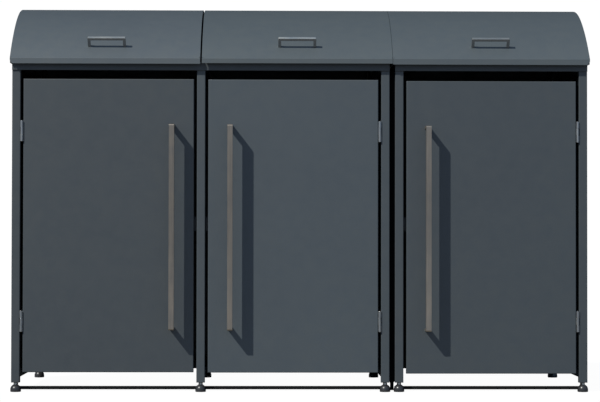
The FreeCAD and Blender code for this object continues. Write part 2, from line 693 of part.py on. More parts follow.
# ---------------------------------------------------------------------- lids
# Hood with a front lip, an arch of two arcs, two closed sides, a rear wall and
# inward flanges along the lower edges of the sides.
lip_y = -S.lid_over_front
LIP_Z = {1: S.lid_lip_z - S.lip_down_1, 2: S.lid_lip_z + S.lip_up_2,
         3: S.lid_lip_z - S.lip_down_3}
for n in (1, 2, 3):
    l0, l1 = LID[n]
    wide = l1 - l0
    lip_z = LIP_Z[n]
    b = new_body("lid_shell_%d" % n)
    outline = [(lip_y, lip_z), (lip_y, S.lid_fold_z),
               (S.lid_join_y, S.lid_join_z), (S.depth, S.lid_rear_z),
               (S.depth, lip_z)]
    sk = profile(b, "YZ_Plane", outline,
                 arcs={1: S.lid_arc_front, 2: S.lid_arc_rear})
    pad(b, sk, wide, both=True)
    low_face = None
    for i, f in enumerate(b.Shape.Faces, start=1):
        if abs(f.CenterOfMass.z - lip_z.value) < 0.01:
            low_face = "Face%d" % i
    last = b.Tip
    shell = b.newObject("PartDesign::Thickness", fresh("shell"))
    shell.Base = (last, [low_face])
    shell.Value = S.sheet.value
    bind(shell, "Value", S.sheet)
    shell.Reversed = True
    shell.Mode = 0
    shell.Join = 1
    doc.recompute()
    # The sides and the rear wall end higher than the lip.
    trim = profile(b, "YZ_Plane", rect(lip_y + S.sheet, lip_z - 5,
                                       S.depth + 5, S.lid_cheek_z))
    pocket(b, trim, wide + 10, both=True)
    for sgn in (-1, 1):
        out_x = (wide / 2 - S.sheet / 2) * sgn
        in_x = (wide / 2 - S.sheet - S.lid_flange) * sgn
        a, c = (in_x, out_x) if sgn > 0 else (out_x, in_x)
        fl = profile(b, "XY_Plane", rect(a, 15, c, S.depth - 20),
                     offset=S.lid_cheek_z)
        pad(b, fl, S.sheet)
    mid = (l0 + l1) / 2
    # At the ends of a unit the sides reach down beside the frame.
    for sgn in OUTER[n]:
        out_x, in_x = wide / 2 * sgn, (wide / 2 - S.sheet) * sgn
        a, c = (in_x, out_x) if sgn > 0 else (out_x, in_x)
        sk = profile(b, "XY_Plane", rect(a, lip_y + 0.5, c, S.depth - 5),
                     offset=S.lid_skirt_z)
        pad(b, sk, S.lid_cheek_z - S.lid_skirt_z + 0.5)
    # A strip down from the rear wall, between the rear posts, covers the slit
    # above the rear top rail.
    b0, b1 = BAY[n]
    sk = profile(b, "XY_Plane", rect(b0 + 2 - mid, S.depth - 2.5, b1 - 2 - mid,
                                     S.depth - 1), offset=S.lid_strip_z)
    pad(b, sk, S.lid_cheek_z + S.sheet - S.lid_strip_z)
    # At the seam of unit a the sides are cut back behind the fold of the lip.
    for sgn in SEAM_END[n]:
        sk = profile(b, "YZ_Plane",
                     [(lip_y + S.sheet + 0.1, S.lid_cheek_z - 1),
                      (lip_y + S.sheet + 0.1, S.lid_fold_z - 1),
                      (S.relief_deep, S.relief_tall),
                      (S.relief_deep, S.lid_cheek_z - 1)],
                     offset=(wide / 2 + 1) * sgn)
        pocket(b, sk, S.sheet + 1, back=sgn < 0)
    # Both lower corners of the lip are cut off.
    for sgn in (-1, 1):
        clip, tall = (S.lid_clip, S.lid_clip_tall) if sgn in FREE_END[n] \
            else (S.lid_clip_seam, S.lid_clip_seam)
        over = clip / tall
        e0, e1 = (wide / 2 + over) * sgn, (wide / 2 - clip - over) * sgn
        low, high = lip_z - 1, lip_z + tall + 1
        sk = profile(b, "XZ_Plane", [(e0, low), (e0, high), (e1, low)],
                     offset=1 - lip_y)
        pocket(b, sk, 9)
    b.Placement.Base = V(mid.value, -S.half_deep.value, 0)
    place(b, mid, -S.half_deep, 0)
    doc.recompute()
    keep(b, "lid_shell_%d" % n)

    # Bow handle, square to the skin.
    g = new_body("lid_handle_%d" % n)
    w, s, reach = S.grip_wide / 2, S.grip_side, S.grip_reach
    ring = [(-w, 0), (-w, reach), (w, reach), (w, 0), (w - s, 0),
            (w - s, reach - s), (s - w, reach - s), (s - w, 0)]
    pad(g, profile(g, "XZ_Plane", ring), s, both=True)
    edges = []
    for i, e in enumerate(g.Shape.Edges, start=1):
        p = e.CenterOfMass
        if abs(abs(p.x) - w.value) < 0.01 and abs(p.z - reach.value) < 0.01:
            edges.append("Edge%d" % i)
    last = g.Tip
    soft = g.newObject("PartDesign::Fillet", fresh("soft"))
    soft.Base = (last, edges)
    soft.Radius = 3.0
    if n == 1:
        mid = mid + S.grip_shift
    g.Placement = FreeCAD.Placement(
        V(mid.value, (S.grip_y - S.half_deep).value, S.grip_z.value),
        FreeCAD.Rotation(V(1, 0, 0), S.grip_tilt.value))
    bind(g, "Placement.Rotation.Angle", S.grip_tilt)
    place(g, mid, S.grip_y - S.half_deep, S.grip_z)
    doc.recompute()
    keep(g, "lid_handle_%d" % n)

# Lid hinges: two to a lid, on the rear wall and the rear top rail.
lid_frame_leaves = []
for n in (1, 2, 3):
    l0, l1 = LID[n]
    ay, az, kr = S.lid_axis_y, S.lid_axis_z, S.lid_knuckle_rad
    rail_y = S.depth + S.header_deep
    halves = []
    for x in (l0 + S.lid_hinge_inset,
              l1 - S.lid_hinge_inset - S.lid_hinge_wide):
        third = (S.lid_hinge_wide - 1) / 3
        xm0, xm1 = x + third + 0.5, x + third * 2 + 0.5
        x3 = x + third * 2 + 1
        lid_frame_leaves.append(fuse([
            box(x, x + S.lid_hinge_wide, rail_y, rail_y + 2,
                S.post_top - S.header_tall + 2, az - kr - 1),
            box(x, x + third, rail_y, ay, az - kr - 3, az),
            box(x3, x3 + third, rail_y, ay, az - kr - 3, az),
            rod(x, ay, az, kr, third, "x"),
            rod(x3, ay, az, kr, third, "x"),
            rod(x, ay, az, S.lid_pin_rad, S.lid_hinge_wide, "x")]))
        half_ = fuse([
            box(x, x + S.lid_hinge_wide, S.depth, S.depth + 2, az + kr + 1,
                az + 34),
            box(xm0, xm1, S.depth, ay, az + 2, az + kr + 3),
            rod(xm0, ay, az, kr, third, "x")])
        halves.append(cut(half_, rod(xm0 - 1, ay, az,
                                     S.lid_pin_rad + S.pin_fit, third + 2,
                                     "x")))
    keep(group(halves, "halves"), "lid_hinge_leaves_%d" % n)
keep(group(lid_frame_leaves, "leaves"), "lid_hinge_frame_leaves")

# ---------------------------------------------------------------- lid struts
# One gas strut to a lid, beside the outer frame of its bay.  Both pivots lie
# equally far from the lid hinge axis, so the cylinder on the frame and the rod
# on the lid each turn by half the lid angle and stay on one line.
frame_brackets = []
low_y = S.lid_axis_y - S.strut_ahead
low_z = S.lid_axis_z - S.strut_off
high_z = S.lid_axis_z + S.strut_off


def peg(p, q, y, z, radius):
    p, q = (p, q) if num(p).value < num(q).value else (q, p)
    return rod(p, y, z, radius, q - p, "x")


def stud(start, mid, inward, y, z):
    """Spacer, pivot and head of a strut stud, from its plate inwards."""
    near = mid - S.eye_thick / 2 * inward
    far = mid + S.eye_thick / 2 * inward
    return [peg(start, near - inward * 0.4, y, z, S.stud_rad + 3),
            peg(start, far + inward * 2.4, y, z, S.stud_rad),
            peg(far + inward * 0.4, far + inward * 2.4, y, z,
                S.stud_rad + 2.5)]


for n in (1, 2, 3):
    side = STRUT_SIDE[n]
    b0, b1 = BAY[n]
    l0, l1 = LID[n]
    face = b0 if side < 0 else b1
    cheek = l0 + S.sheet if side < 0 else l1 - S.sheet
    inward = -side
    mid = face + S.strut_side * inward
    back_x = mid - S.eye_thick / 2
    frame_brackets.append(fuse([
        rounded(between(face, face + inward * S.plate, low_y - 20,
                        low_y + 20, low_z - 18, S.post_top - 4), "x", 6.0)]
        + stud(face + inward * S.plate, mid, inward, low_y, low_z)))
    keep(fuse([
        rounded(between(cheek, cheek + inward * S.plate, low_y - 20,
                        low_y + 20, high_z - 20, high_z + 20), "x", 6.0)]
        + stud(cheek + inward * S.plate, mid, inward, low_y, high_z)),
        "lid_strut_bracket_%d" % n)
    keep(cut(
        fuse([rod(back_x, low_y, low_z, S.eye_rad, S.eye_thick, "x"),
              rod(mid, low_y, low_z + 7.5, S.rod_rad + 2,
                  S.strut_start - 7),
              rod(mid, low_y, low_z + S.strut_start, S.strut_rad,
                  S.strut_long)]),
        fuse([rod(back_x - 1, low_y, low_z, S.stud_rad + S.pin_fit,
                  S.eye_thick + 2, "x"),
              rod(mid, low_y, low_z + S.strut_start + 8, S.strut_bore,
                  S.strut_long)])), "strut_cylinder_%d" % n)
    keep(cut(
        fuse([rod(mid, low_y, high_z - S.rod_long, S.rod_rad,
                  S.rod_long - 8),
              rod(mid, low_y, high_z - 22, S.rod_rad + 2, 14.5),
              rod(back_x, low_y, high_z, S.eye_rad, S.eye_thick, "x")]),
        rod(back_x - 1, low_y, high_z, S.stud_rad + S.pin_fit,
            S.eye_thick + 2, "x")), "strut_rod_%d" % n)
keep(group(frame_brackets, "brackets"), "strut_frame_brackets")

# ------------------------------------------------------- buffers and fixings
pads = []
for n in (1, 2, 3):
    l0, l1 = LID[n]
    b0, b1 = BAY[n]
    if n == 1:
        xs = (b0 - S.post + 10, seam - 9)
    elif n == 2:
        xs = (seam + 9, b1 + S.post - 10)
    else:
        xs = (b0 - S.post + 10, b1 + S.post - 10)
    for x in xs:
        for y in (60, 740):
            pads.append(rod(x, y, S.post_top, S.pad_rad, S.pad_tall))
keep(group(pads, "pads"), "lid_buffers")

bolts = []
for label, x in FRAMES:
    c = x + S.post / 2
    y = S.depth + S.header_deep
    z = S.post_top - S.header_tall / 2
    bolts.append(fuse([rod(c, y, z, S.head_rad, 1.6, "y"),
                       cut(rod(c, y + 1.6, z, S.head_rad - 1.4, 2.2, "y"),
                           rod(c, y + 2.4, z, 2.2, 3, "y"))]))
keep(group(bolts, "bolts"), "frame_bolts")

links = []
for y, z in TIE_AT:
    links.append(fuse([
        rod(A_RIGHT - 5, y, z, S.head_rad, 5, "x"),
        rod(A_RIGHT, y, z, S.bolt_rad, S.post * 2 + S.unit_gap, "x"),
        rod(B_LEFT + S.post, y, z, S.head_rad - 0.5, 6, "x")]))
    links.append(cut(rod(A_END, y, z, S.head_rad + 1, S.unit_gap, "x"),
                     rod(A_END - 1, y, z, S.bolt_rad + 0.3,
                         S.unit_gap + 2, "x")))
keep(group(links, "links"), "unit_link_bolts")

# ------------------------------------------------------------ check and save
doc.recompute()
bad = []
for obj in doc.Objects:
    if "Invalid" in obj.State or "Error" in obj.State:
        bad.append("%s (%s) %s" % (obj.Name, obj.Label, obj.State))
for obj in NODES:
    if obj.Shape.isNull() or not obj.Shape.isValid():
        bad.append("shape of " + obj.Label)
    if not obj.Shape.Solids:
        bad.append("no solid in " + obj.Label)
if bad:
    raise RuntimeError("not sound: " + "; ".join(bad))
labels = [o.Label for o in NODES]
if len(set(labels)) != len(labels) or len(labels) > 60:
    raise RuntimeError("labels: %d" % len(labels))

os.makedirs("parts", exist_ok=True)
for obj in NODES:
    obj.Shape.exportStep("parts/%s.step" % obj.Label)
    bb = obj.Shape.BoundBox
    print("%-26s solids %2d volume %9.1f cm3  x %7.1f %7.1f  y %6.1f %6.1f"
          "  z %6.1f %6.1f" % (obj.Label, len(obj.Shape.Solids),
                               obj.Shape.Volume / 1000.0, bb.XMin, bb.XMax,
                               bb.YMin, bb.YMax, bb.ZMin, bb.ZMax))
print("nodes", len(NODES))
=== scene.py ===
import json
import math
import random

import bmesh
import bpy
from mathutils import Matrix, Vector

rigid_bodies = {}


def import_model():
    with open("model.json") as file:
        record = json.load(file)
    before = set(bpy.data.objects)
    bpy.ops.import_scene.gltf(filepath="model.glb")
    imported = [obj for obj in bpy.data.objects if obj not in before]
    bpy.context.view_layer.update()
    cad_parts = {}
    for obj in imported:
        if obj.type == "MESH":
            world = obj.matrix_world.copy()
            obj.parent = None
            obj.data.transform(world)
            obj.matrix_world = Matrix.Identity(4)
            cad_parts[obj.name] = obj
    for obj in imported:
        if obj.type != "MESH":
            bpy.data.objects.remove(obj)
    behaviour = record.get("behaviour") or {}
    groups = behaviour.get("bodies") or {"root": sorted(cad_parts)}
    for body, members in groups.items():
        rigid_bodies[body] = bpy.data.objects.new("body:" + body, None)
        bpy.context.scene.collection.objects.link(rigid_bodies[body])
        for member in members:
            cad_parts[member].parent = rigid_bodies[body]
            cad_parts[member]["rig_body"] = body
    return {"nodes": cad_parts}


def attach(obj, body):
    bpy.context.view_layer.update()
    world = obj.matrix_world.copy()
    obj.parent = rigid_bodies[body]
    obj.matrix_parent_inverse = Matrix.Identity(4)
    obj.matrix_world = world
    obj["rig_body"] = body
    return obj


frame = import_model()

# The finish of the wheelie bin store: powder-coated steel frame, doors and
# lids, brushed pull bars, plastic feet, gas struts, and the small fixings and
# weld beads that sit on the frame.  Metres, +Z up.

for o in list(bpy.data.objects):
    if "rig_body" not in o and not o.name.startswith("body:"):
        bpy.data.objects.remove(o)
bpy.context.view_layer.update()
nodes = frame["nodes"]
scene = bpy.context.scene
rng = random.Random(7)

MM = 0.001
DEEP = 370.0        # post faces ahead of the middle of the footprint


def P(x, y, z):
    """Point from millimetres, with y counted from the plane of the post faces."""
    return Vector((x * MM, (y - DEEP) * MM, z * MM))


# ------------------------------------------------------------------ materials
class Tree:
    """A small helper that wires one procedural material."""

    def __init__(self, name):
        self.mat = bpy.data.materials.new(name)
        self.mat.use_nodes = True
        self.t = self.mat.node_tree
        self.t.nodes.clear()
        out = self.t.nodes.new("ShaderNodeOutputMaterial")
        self.bsdf = self.t.nodes.new("ShaderNodeBsdfPrincipled")
        self.t.links.new(self.bsdf.outputs["BSDF"], out.inputs["Surface"])
        co = self.t.nodes.new("ShaderNodeTexCoord")
        self.co = co.outputs["Object"]

    def link(self, a, b):
        self.t.links.new(a, b)

    def put(self, socket, value):
        if isinstance(value, bpy.types.NodeSocket):
            self.t.links.new(value, socket)
        else:
            socket.default_value = value

    def stretch(self, scale, turn=(0, 0, 0)):
        n = self.t.nodes.new("ShaderNodeMapping")
        self.put(n.inputs["Vector"], self.co)
        n.inputs["Scale"].default_value = scale
        n.inputs["Rotation"].default_value = turn
        return n.outputs["Vector"]

    def noise(self, scale, detail=2.0, rough=0.5, vector=None, warp=0.0):
        n = self.t.nodes.new("ShaderNodeTexNoise")
        self.put(n.inputs["Vector"], vector or self.co)
        n.inputs["Scale"].default_value = scale
        n.inputs["Detail"].default_value = detail
        n.inputs["Roughness"].default_value = rough
        n.inputs["Distortion"].default_value = warp
        return n.outputs["Fac"]

    def cells(self, scale, feature="F1"):
        n = self.t.nodes.new("ShaderNodeTexVoronoi")
        n.feature = feature
        self.put(n.inputs["Vector"], self.co)
        n.inputs["Scale"].default_value = scale
        return n.outputs["Distance"], n.outputs["Color"]

    def math(self, op, a, b=0.0, clamp=False):
        n = self.t.nodes.new("ShaderNodeMath")
        n.operation = op
        n.use_clamp = clamp
        self.put(n.inputs[0], a)
        self.put(n.inputs[1], b)
        return n.outputs[0]

    def span(self, value, a0, a1, b0, b1, smooth=False):
        n = self.t.nodes.new("ShaderNodeMapRange")
        n.interpolation_type = "SMOOTHSTEP" if smooth else "LINEAR"
        self.put(n.inputs["Value"], value)
        for key, v in (("From Min", a0), ("From Max", a1), ("To Min", b0),
                       ("To Max", b1)):
            n.inputs[key].default_value = v
        return n.outputs["Result"]

    def mix(self, fac, a, b, kind="MIX"):
        n = self.t.nodes.new("ShaderNodeMix")
        n.data_type = "RGBA"
        n.blend_type = kind
        self.put(n.inputs["Factor"], fac)
        self.put(n.inputs[6], a if isinstance(a, bpy.types.NodeSocket)
                 else (*a, 1.0))
        self.put(n.inputs[7], b if isinstance(b, bpy.types.NodeSocket)
                 else (*b, 1.0))
        return n.outputs[2]

    def edge(self, radius, gain=3.0):
        """Rounded normal, and how near a point is to an outer or inner edge."""
        b = self.t.nodes.new("ShaderNodeBevel")
        b.samples = 4
        b.inputs["Radius"].default_value = radius
        g = self.t.nodes.new("ShaderNodeNewGeometry")
        d = self.t.nodes.new("ShaderNodeVectorMath")
        d.operation = "DOT_PRODUCT"
        self.put(d.inputs[0], b.outputs["Normal"])
        self.put(d.inputs[1], g.outputs["Normal"])
        m = self.math("SUBTRACT", 1.0, d.outputs["Value"])
        return b.outputs["Normal"], self.math("MULTIPLY", m, gain, True)

    def bump(self, height, strength, distance, normal=None):
        n = self.t.nodes.new("ShaderNodeBump")
        n.inputs["Strength"].default_value = strength
        n.inputs["Distance"].default_value = distance
        self.put(n.inputs["Height"], height)
        if normal is not None:
            self.put(n.inputs["Normal"], normal)
        return n.outputs["Normal"]

    def done(self, colour, rough, normal, metallic=0.0, level=0.5, coat=0.0,
             coat_rough=0.3):
        s = self.bsdf.inputs
        self.put(s["Base Color"], colour)
        self.put(s["Roughness"], rough)
        if normal is not None:
            self.put(s["Normal"], normal)
        s["Metallic"].default_value = metallic
        s["Specular IOR Level"].default_value = level
        s["Coat Weight"].default_value = coat
        s["Coat Roughness"].default_value = coat_rough
        return self.mat


def tone(rgb, k):
    return tuple(c * k for c in rgb)


def powder(name, rgb, rough=0.52, grain=0.5, level=0.4, wear=1.3, sweep=0.05):
    """Fine-textured powder coat: a slow drift of tone over the sheet, the
    cloudiness of the spray, a close pebbled grain, and a coat that thins to a
    lighter, smoother line along each fold and edge."""
    t = Tree(name)
    drift = t.noise(1.7, 3.0, 0.55)
    cloud = t.noise(26.0, 3.0, 0.6)
    fine = t.noise(1250.0, 2.0, 0.65)
    speck = t.noise(2600.0, 1.0, 0.5)
    round_n, near = t.edge(0.0016)
    warm = (rgb[0] * 1.02, rgb[1] * 1.0, rgb[2] * 0.955)
    c = t.mix(t.span(drift, 0.32, 0.68, 0.0, 1.0, True), rgb, warm)
    c = t.mix(t.span(cloud, 0.3, 0.7, 0.0, 1.0), tone(rgb, 1.0), c)
    k = t.span(drift, 0.3, 0.7, 1.0 - sweep, 1.0 + sweep)
    k2 = t.span(speck, 0.35, 0.65, 0.93, 1.07)
    grey = t.math("MULTIPLY", k, k2)
    mul = t.t.nodes.new("ShaderNodeCombineColor")
    for i in range(3):
        t.put(mul.inputs[i], grey)
    c = t.mix(1.0, c, mul.outputs["Color"], "MULTIPLY")
    c = t.mix(t.math("MULTIPLY", near, 0.8), c, tone(rgb, wear))
    r = t.math("ADD", t.span(cloud, 0.3, 0.7, rough - 0.035, rough + 0.035),
               t.span(fine, 0.3, 0.7, -0.03, 0.03))
    r = t.math("SUBTRACT", r, t.math("MULTIPLY", near, 0.08), True)
    n = t.bump(drift, 0.10, 0.004, round_n)
    n = t.bump(fine, grain, 0.00012, n)
    return t.done(c, r, n, level=level)


def brushed(name, rgb, rough, along, edge=0.0008, metallic=1.0, shade_below=None,
            reflection_heights=None):
    """Brushed stainless steel: streaks that run along one axis.  With a
    second tone, the sides that face down take that tone: painted shade below,
    with the first tone as a painted highlight on the sides that face up.  With
    three height stops, the tone is scaled from one stop to the next: painted
    reflection along the length."""
    t = Tree(name)
    scale = [900.0, 900.0, 900.0]
    scale["xyz".index(along)] = 9.0
    streak = t.noise(1.0, 3.0, 0.6, t.stretch(scale))
    scale2 = [s * 0.22 for s in scale]
    band = t.noise(1.0, 2.0, 0.5, t.stretch(scale2))
    smear = t.noise(19.0, 3.0, 0.6)
    round_n, near = t.edge(edge)
    c = t.mix(t.span(streak, 0.3, 0.7, 0.0, 1.0), tone(rgb, 0.9),
              tone(rgb, 1.1))
    c = t.mix(t.span(smear, 0.35, 0.7, 0.0, 0.5), c,
              (rgb[0] * 1.02, rgb[1] * 0.98, rgb[2] * 0.93))
    # Painted shade: faces that look down take the darker second tone, faces that
    # look up keep the lit first tone.
    if shade_below:
        g = t.t.nodes.new("ShaderNodeNewGeometry")
        cut = t.t.nodes.new("ShaderNodeSeparateXYZ")
        t.put(cut.inputs[0], g.outputs["Normal"])
        shaded_tone = t.mix(t.span(streak, 0.3, 0.7, 0.0, 1.0), tone(shade_below, 0.9),
                     tone(shade_below, 1.1))
        c = t.mix(t.span(cut.outputs["Z"], -0.1, 0.5, 0.0, 1.0, True), shaded_tone,
                  c)
    else:
        c = t.mix(t.math("MULTIPLY", near, 0.5), c, tone(rgb, 1.3))
    if reflection_heights:
        (z0, k0), (z1, k1), (z2, k2) = reflection_heights
        spot = t.t.nodes.new("ShaderNodeTexCoord")
        part = t.t.nodes.new("ShaderNodeSeparateXYZ")
        t.put(part.inputs[0], spot.outputs["Object"])
        k = t.math("MULTIPLY", t.span(part.outputs["Z"], z0, z1, k0, k1, True),
                   t.span(part.outputs["Z"], z1, z2, 1.0, k2 / k1, True))
        grey = t.t.nodes.new("ShaderNodeCombineColor")
        for i in range(3):
            t.put(grey.inputs[i], k)
        c = t.mix(1.0, c, grey.outputs["Color"], "MULTIPLY")
    r = t.math("ADD", t.span(streak, 0.3, 0.7, rough - 0.06, rough + 0.06),
               t.span(smear, 0.3, 0.7, -0.03, 0.04))
    n = t.bump(band, 0.10, 0.0002, round_n)
    n = t.bump(streak, 0.28, 0.00006, n)
    return t.done(c, r, n, metallic=metallic)


def zinc(name, rgb, rough=0.36):
    """Bright zinc plate, with a faint crystal mottle and duller patches."""
    t = Tree(name)
    dist, col = t.cells(620.0)
    patch = t.noise(120.0, 3.0, 0.6)
    fine = t.noise(2400.0, 2.0, 0.5)
    round_n, near = t.edge(0.0004)
    c = t.mix(t.span(dist, 0.0, 0.8, 0.0, 1.0), tone(rgb, 1.06),
              tone(rgb, 0.86))
    c = t.mix(t.span(patch, 0.4, 0.7, 0.0, 0.6), c,
              (rgb[0] * 0.8, rgb[1] * 0.79, rgb[2] * 0.74))
    c = t.mix(t.math("MULTIPLY", near, 0.5), c, tone(rgb, 1.25))
    r = t.span(patch, 0.3, 0.7, rough - 0.07, rough + 0.1)
    n = t.bump(fine, 0.25, 0.00004, round_n)
    return t.done(c, r, n, metallic=1.0)


def moulded(name, rgb, rough=0.45, grain=0.3, level=0.5, pale=1.6,
            coat=0.0):
    """Moulded plastic or rubber: fine spark-eroded grain, flow marks and a
    slightly greyed edge."""
    t = Tree(name)
    flow = t.noise(60.0, 3.0, 0.6, warp=0.6)
    fine = t.noise(1700.0, 2.0, 0.6)
    round_n, near = t.edge(0.0007)
    c = t.mix(t.span(flow, 0.3, 0.7, 0.0, 1.0), tone(rgb, 0.85),
              tone(rgb, 1.18))
    c = t.mix(t.math("MULTIPLY", near, 0.6), c, tone(rgb, pale))
    r = t.math("ADD", t.span(flow, 0.3, 0.7, rough - 0.05, rough + 0.06),
               t.span(fine, 0.3, 0.7, -0.03, 0.03))
    n = t.bump(fine, grain, 0.00008, round_n)
    return t.done(c, r, n, level=level, coat=coat, coat_rough=0.25)


def chrome(name, rgb):
    """Ground and chromed rod with faint lines along it."""
    t = Tree(name)
    line = t.noise(1.0, 2.0, 0.5, t.stretch((1500.0, 1500.0, 30.0)))
    film = t.noise(35.0, 3.0, 0.6)
    c = t.mix(t.span(film, 0.35, 0.7, 0.0, 1.0), rgb, tone(rgb, 0.9))
    r = t.math("ADD", t.span(line, 0.3, 0.7, 0.07, 0.13),
               t.span(film, 0.3, 0.7, 0.0, 0.08))
    n = t.bump(line, 0.08, 0.00003)
    return t.done(c, r, n, metallic=1.0)


ANTHRACITE = (0.0250, 0.0330, 0.0400)
LID_COAT = (0.0524, 0.0636, 0.0710)
FINISH = {
    "frame_coat": powder("frame_coat", ANTHRACITE, 0.54, level=0.85),
    "panel_coat": powder("panel_coat", ANTHRACITE, 0.54, level=0.85),
    "door_coat": powder("door_coat", ANTHRACITE, 0.54, level=0.85),
    "lid_coat": powder("lid_coat", LID_COAT, 0.54, level=0.85),
    "handle_steel": brushed("handle_steel", (0.385, 0.330, 0.275), 0.42, "z"),
    "hinge_steel": brushed("hinge_steel", (0.425, 0.425, 0.415), 0.34, "z"),
    "fixing_steel": zinc("fixing_steel", (0.55, 0.55, 0.53)),
    "strut_bracket_coat": powder("strut_bracket_coat",
                                 (0.050, 0.054, 0.058), 0.42, 0.3),
    "strut_black": moulded("strut_black", (0.018, 0.018, 0.019), 0.26, 0.10,
                           coat=0.3),
    "strut_chrome": chrome("strut_chrome", (0.75, 0.75, 0.76)),
    "catch_plastic": moulded("catch_plastic", (0.030, 0.030, 0.032)),
    "plug_plastic": moulded("plug_plastic", (0.020, 0.020, 0.022), 0.5),
    "foot_plastic": moulded("foot_plastic", (0.025, 0.025, 0.027), 0.33,
                            0.2),
    "buffer_rubber": moulded("buffer_rubber", (0.020, 0.020, 0.020), 0.78,
                             0.6, 0.3),
}
# The three doors are brighter and darker copies of one coat: painted light,
# standing in for the light each door catches.
DOOR_COATS = {
    1: FINISH["door_coat"],
    2: powder("door_coat_2", tone(ANTHRACITE, 1.47), 0.54, level=0.85),
    3: powder("door_coat_3", tone(ANTHRACITE, 1.11), 0.54, level=0.85),
}
# The side frames are brighter and darker copies of one coat: painted light,
# standing in for the light each post catches.
FRAME_COATS = {
    "side_frame_a_mid": powder("frame_coat_2", tone(ANTHRACITE, 1.22), 0.54,
                               level=0.85),
    "side_frame_a_left": powder("frame_coat_3", tone(ANTHRACITE, 0.90), 0.54,
                                level=0.85),
    "side_frame_b_left": powder("frame_coat_4", tone(ANTHRACITE, 1.06), 0.54,
                                level=0.85),
}
FRAME_COATS["side_frame_a_right"] = FRAME_COATS["side_frame_a_mid"]
# Each lid is a slightly different tint of one coat: painted light, standing in
# for the light and sky each lid catches.
LID_COATS = {n: powder("lid_coat_%d" % n,
                       tuple(a * b for a, b in zip(LID_COAT, k)), 0.54,
                       level=0.85)
             for n, k in ((1, (1.07, 1.085, 1.12)), (2, (1.0, 1.03, 1.04)),
                          (3, (0.98, 1.01, 1.03)))}
# Lid handle tones: the bright tone is a painted highlight on the faces that look
# up, the grey one painted shade on the faces that look down; each handle's factor
# sets how bright its highlight is.
LID_GRIPS = {n: brushed("lid_handle_steel_%d" % n, tone((0.875, 0.825, 0.72), k),
                        0.34, "x", shade_below=(0.35, 0.346, 0.345))
             for n, k in ((1, 0.98), (2, 1.12), (3, 0.80))}
# Pull bar tones: each bar's factor and the scaling by height are painted
# reflection, brighter low down and darker at mid-height.
BAR_STEEL = {n: brushed("bar_steel_%d" % n, tone((0.385, 0.330, 0.275), k),
                        0.42, "z", reflection_heights=((0.24, 1.16), (0.71, 0.93),
                                            (0.94, 1.03)))
             for n, k in ((1, 0.76), (2, 0.79), (3, 0.89))}
# The bolts between the units are coloured near black: painted shade, standing in
# for the dark gap they sit in.
SHADE_BLACK_STEEL = zinc("shade_black_steel", (0.018, 0.018, 0.019), 0.5)
# The threshold bars are coloured near black: painted shade, standing in for the
# shade beneath the doors.
THRESHOLD_SHADE = powder("threshold_shade_coat", (0.006, 0.0065, 0.007), 0.8, 0.5, 0.1)
# Near-black rubber for the strip in the unit gap: painted shade, a dark strip
# where the gap shows only shade.
GAP_SHADE_RUBBER = moulded("gap_shade_rubber", (0.003, 0.003, 0.004), 0.9, 0.6, 0.05)

for name, o in nodes.items():
    for s in o.material_slots:
        if s.material and s.material.name.split(".")[0] in FINISH:
            s.material = FINISH[s.material.name.split(".")[0]]
    if name.startswith("lid_shell"):
        o.material_slots[0].material = LID_COATS[int(name[-1])]
    if name.startswith("lid_handle"):
        o.material_slots[0].material = LID_GRIPS[int(name[-1])]
    if name.startswith("bar_handle"):
        o.material_slots[0].material = BAR_STEEL[int(name[-1])]
    if name == "unit_link_bolts":
        o.material_slots[0].material = SHADE_BLACK_STEEL
    if name == "threshold_bars":
        o.material_slots[0].material = THRESHOLD_SHADE
    if name in FRAME_COATS:
        o.material_slots[0].material = FRAME_COATS[name]
    if name.startswith("door_panel"):
        o.material_slots[0].material = DOOR_COATS[int(name[-1])]


# --------------------------------------------------------------- mesh helpers
def piece(name, bm, body, slot, sharp=35.0, mat=None):
    bmesh.ops.recalc_face_normals(bm, faces=bm.faces)
    limit = math.radians(sharp)
    for f in bm.faces:
        f.smooth = True
    for e in bm.edges:
        if len(e.link_faces) == 2 and e.calc_face_angle(0.0) > limit:
            e.smooth = False
    me = bpy.data.meshes.new(name)
    bm.to_mesh(me)
    bm.free()
    me.materials.append(mat or FINISH[slot])
    o = bpy.data.objects.new(name, me)
    scene.collection.objects.link(o)
    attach(o, body)
    return o


def lathe(bm, rings, origin, axis, segs=24, ring_shut=False, ref=None):
    """Turned solid: rings of (radius, height) in millimetres along an axis.
    A radius may be a function of the angle, for sockets and hexagons."""
    z = Vector(axis).normalized()
    x = Vector(ref) if ref is not None else z.orthogonal()
    x = (x - z * x.dot(z)).normalized()
    y = z.cross(x)
    loops = []
    for r, h in rings:
        loop = []
        for i in range(segs):
            a = math.tau * i / segs
            rr = (r(a) if callable(r) else r) * MM
            loop.append(bm.verts.new(origin + x * (rr * math.cos(a))
                                     + y * (rr * math.sin(a)) + z * (h * MM)))
        loops.append(loop)
    pairs = list(zip(loops, loops[1:]))
    if ring_shut:
        pairs.append((loops[-1], loops[0]))
    for p, q in pairs:
        for i in range(segs):
            j = (i + 1) % segs
            bm.faces.new((p[i], p[j], q[j], q[i]))
    if not ring_shut:
        bm.faces.new(loops[0])
        bm.faces.new(loops[-1])


def hexa(apothem, turn=0.0):
    def r(a):
        return apothem / math.cos(((a + turn) % (math.pi / 3)) - math.pi / 6)
    return r


def cross(size):
    """Outline of a cross recess."""
    def r(a):
        return size * (0.42 + 0.58 * abs(math.cos(2 * a)) ** 3)
    return r


